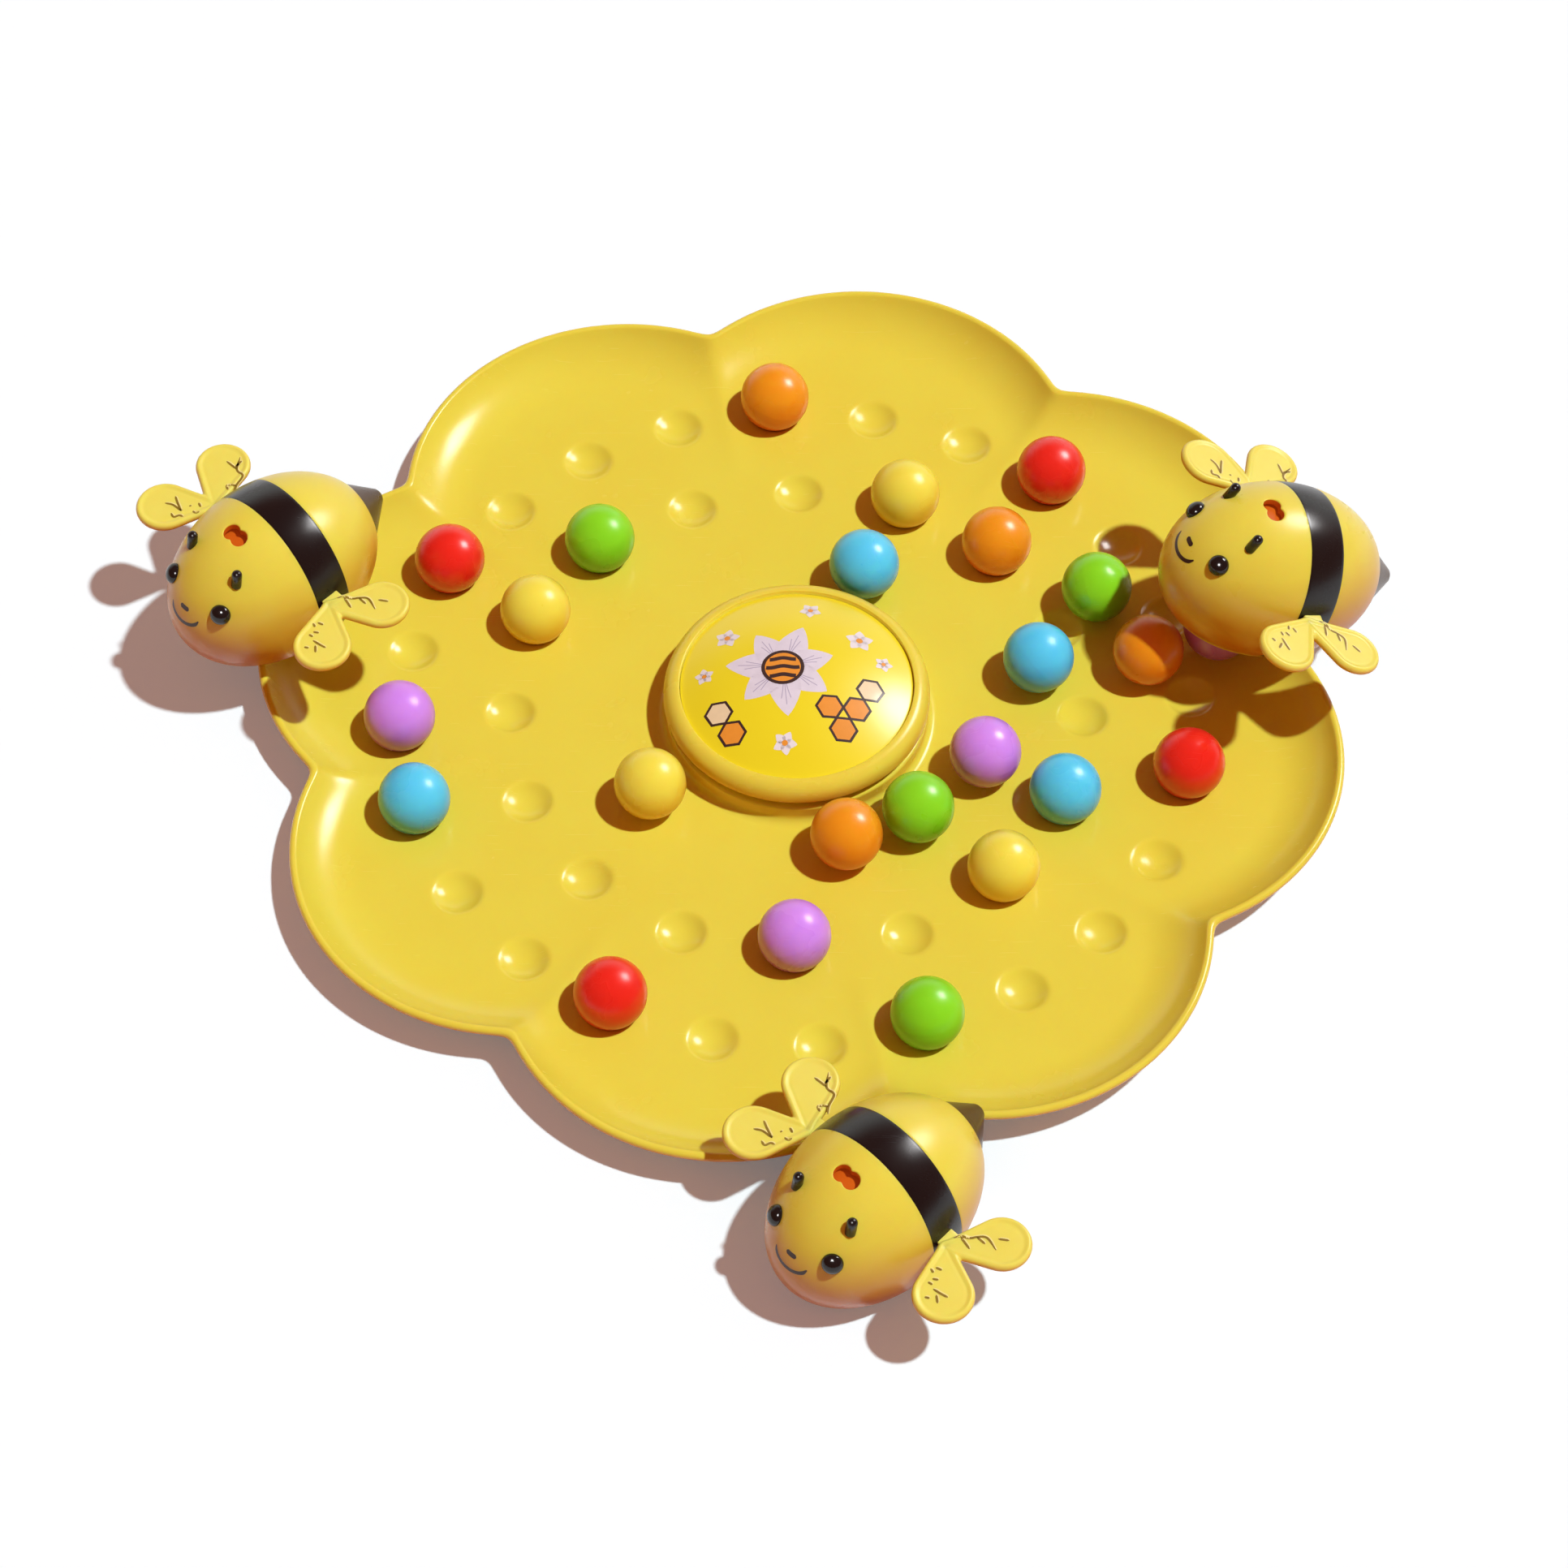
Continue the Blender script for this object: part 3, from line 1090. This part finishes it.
def studs(forward, side, way, profile):
    """Two turned pieces, left and right, that stand on the head's skin along a direction."""
    points, faces = [], []
    for sign in (-1, 1):
        up = half_high * math.sqrt(1 - (forward / half_long) ** 2 - (side / half_wide) ** 2)
        foot = Vector((forward, sign * side, up))
        normal = Vector((foot.x / half_long ** 2, foot.y / half_wide ** 2, foot.z / half_high ** 2))
        turn = (way or normal).to_track_quat("Z", "Y")
        more, made = lathe(profile, 40, len(points))
        points += [tuple(foot + turn @ Vector(p)) for p in more]
        faces += made
    return points, faces


peg = [(0.01, -seat_depth - peg_length), (peg_radius, -seat_depth - peg_length), (peg_radius, -seat_depth)]
eye_profile = peg + [(eye_radius, -seat_depth), (eye_radius, 0.0)]
eye_profile += [(eye_radius * math.cos(a), eye_rise * math.sin(a))
                for a in np.radians(np.linspace(4, 89.9, 18))]
feeler_profile = peg + [(feeler_radius, -seat_depth)]
feeler_profile += arc((0.0, feeler_length - feeler_radius), feeler_radius, 0, 89.5, 12)
eye_black = plastic("polished black eye", (0.006, 0.006, 0.007), (0.010, 0.009, 0.009), (0.13, 0.18),
                    cloud=40.0, grain=0.2)
eyes = finished(*studs(eye_forward, eye_side, None, eye_profile), [eye_black], name="eyes", bridge=False)
feeler_way = Vector((-math.sin(feeler_lean), 0, math.cos(feeler_lean)))
feelers = finished(*studs(feeler_forward, feeler_side, feeler_way, feeler_profile), [belt_black],
                   name="feelers", bridge=False)
place_on_bees(eyes, "bee_%d_eye_domes", "bee_%d_eyes")
place_on_bees(feelers, "bee_%d_feeler_studs", "bee_%d_feelers")
print_brown = plastic("dark brown pad print", (0.030, 0.014, 0.008), (0.045, 0.022, 0.012), (0.3, 0.4),
                      cloud=200.0, grain=0.5, grain_scale=2000.0)
smile = [(-4.9, 6.9), (-4.2, 5.7), (-2.9, 4.9), (-1.0, 4.45), (1.0, 4.45), (2.9, 4.9), (4.2, 5.7), (4.9, 6.9)]
nose = [(-1.5, 8.45), (-0.5, 8.4), (0.5, 8.4), (1.5, 8.45)]


def on_face(side, up):
    """The point of the head's skin at a place seen from the front, a hair proud of it."""
    proud = 1.0008
    forward = half_long * math.sqrt(1 - (side / half_wide) ** 2 - (up / half_high) ** 2)
    return forward * proud, side * proud, up * proud


face_points, face_faces = [], []
ribbon(smooth_path(smile, 6), smile_width, on_face, face_points, face_faces)
ribbon(smooth_path(nose, 6), nose_width, on_face, face_points, face_faces)
marks = bpy.data.meshes.new("face marks")
marks.from_pydata((np.array(face_points) * mm).tolist(), [], face_faces)
marks.materials.append(print_brown)
place_on_bees(marks, "bee_%d_smile", None)

# Floor: one plain pale sheet under the game. It keeps the game's shadow, and looks white to the
# camera and in the gloss. To the light that it throws back up it is a warm tan.
floor_radius, floor_gap = 4.0, 0.00004
floor_mesh = bpy.data.meshes.new("floor")
form = bmesh.new()
bmesh.ops.create_circle(form, cap_ends=True, segments=96, radius=floor_radius)
bmesh.ops.translate(form, verts=form.verts[:], vec=(0, 0, -floor_gap))
form.to_mesh(floor_mesh)
form.free()
floor = bpy.data.objects.new("floor", floor_mesh)
bpy.context.scene.collection.objects.link(floor)
floor_paint = bpy.data.materials.new("pale floor")
floor_paint.use_nodes = True
tree = floor_paint.node_tree
paint = tree.nodes["Principled BSDF"]
rays = tree.nodes.new("ShaderNodeLightPath")
seen = maths(tree, "MAXIMUM", rays.outputs["Is Camera Ray"], rays.outputs["Is Glossy Ray"])
seen = maths(tree, "MAXIMUM", seen, rays.outputs["Is Transmission Ray"])
shade = mixed(tree, seen, (0.55, 0.27, 0.11, 1), (0.83, 0.96, 0.92, 1))
gleam = mixed(tree, seen, (0.0, 0.0, 0.0, 1), (0.105, 0.132, 0.145, 1))
tree.links.new(shade, paint.inputs["Base Color"])
tree.links.new(gleam, paint.inputs["Emission Color"])
paint.inputs["Emission Strength"].default_value = 1.0
paint.inputs["Roughness"].default_value = 0.9
paint.inputs["Specular IOR Level"].default_value = 0.1
floor_mesh.materials.append(floor_paint)

# Light: a small bright lamp high on the right that draws the short shadows, a square soft box behind
# on the right that gives the glints, a small one in front for the eyes and feelers alone, and an even
# warm room whose pale far wall shows in the gloss.
world = bpy.data.worlds.new("room")
bpy.context.scene.world = world
world.use_nodes = True
tree = world.node_tree
sight = tree.nodes.new("ShaderNodeTexCoord").outputs["Generated"]
split = tree.nodes.new("ShaderNodeSeparateXYZ")
tree.links.new(sight, split.inputs[0])
far = span(tree, split.outputs[1], 0.35, 0.80)
under = span(tree, split.outputs[2], 0.62, 0.30)
above = span(tree, split.outputs[2], -0.02, 0.05)
band = maths(tree, "MULTIPLY", maths(tree, "MULTIPLY", far, under), above)
rays = tree.nodes.new("ShaderNodeLightPath")
share = maths(tree, "MULTIPLY", band, rays.outputs["Is Glossy Ray"])
room = mixed(tree, share, (0.31, 0.088, 0.042, 1), (1.0, 1.0, 0.95, 1))
tree.links.new(room, tree.nodes["Background"].inputs["Color"])


def aimed(thing, direction, distance):
    """Places a lamp in a direction from the tray's middle and turns it there."""
    way = Vector(direction).normalized()
    thing.location = way * distance
    thing.rotation_mode = "QUATERNION"
    thing.rotation_quaternion = way.to_track_quat("Z", "Y")
    bpy.context.scene.collection.objects.link(thing)


sun = bpy.data.lights.new("key lamp", "SUN")
sun.energy = 2.85
sun.color = (0.95, 1.0, 1.10)
sun.angle = math.radians(2.2)
key = bpy.data.objects.new("key lamp", sun)
key.visible_glossy = False
aimed(key, (0.414, -0.08, 0.906), 2.0)


def glint_box(name, size, energy, direction):
    """A square soft box a metre away that shows in the gloss alone."""
    lamp = bpy.data.lights.new(name, "AREA")
    lamp.shape = "SQUARE"
    lamp.size = size
    lamp.energy = energy
    glints = bpy.data.objects.new(name, lamp)
    glints.visible_diffuse = False
    aimed(glints, direction, 1.0)
    return glints


glint_box("soft box", 0.29, 6.0, (0.633, 0.386, 0.671))
eye_light = glint_box("eye light", 0.24, 7.0, (-0.10, -0.55, 0.83))
lit = bpy.data.collections.new("eyes and feelers")
for number in (1, 2, 3):
    lit.objects.link(bpy.data.objects["bee_%d_eye_domes" % number])
    lit.objects.link(bpy.data.objects["bee_%d_feeler_studs" % number])
eye_light.light_linking.receiver_collection = lit

# Camera: looks down on the game from the front, as the photograph does.
lens = bpy.data.cameras.new("camera")
lens.sensor_width = 36.0
lens.lens = 109.47
lens.clip_start = 0.05
lens.clip_end = 20.0
camera = bpy.data.objects.new("camera", lens)
camera.location = (-0.003205, -0.72603, 0.96953)
camera.rotation_euler = (math.radians(36.131), 0.0, 0.0)
bpy.context.scene.collection.objects.link(camera)
bpy.context.scene.camera = camera
bpy.context.scene.view_settings.view_transform = "Standard"
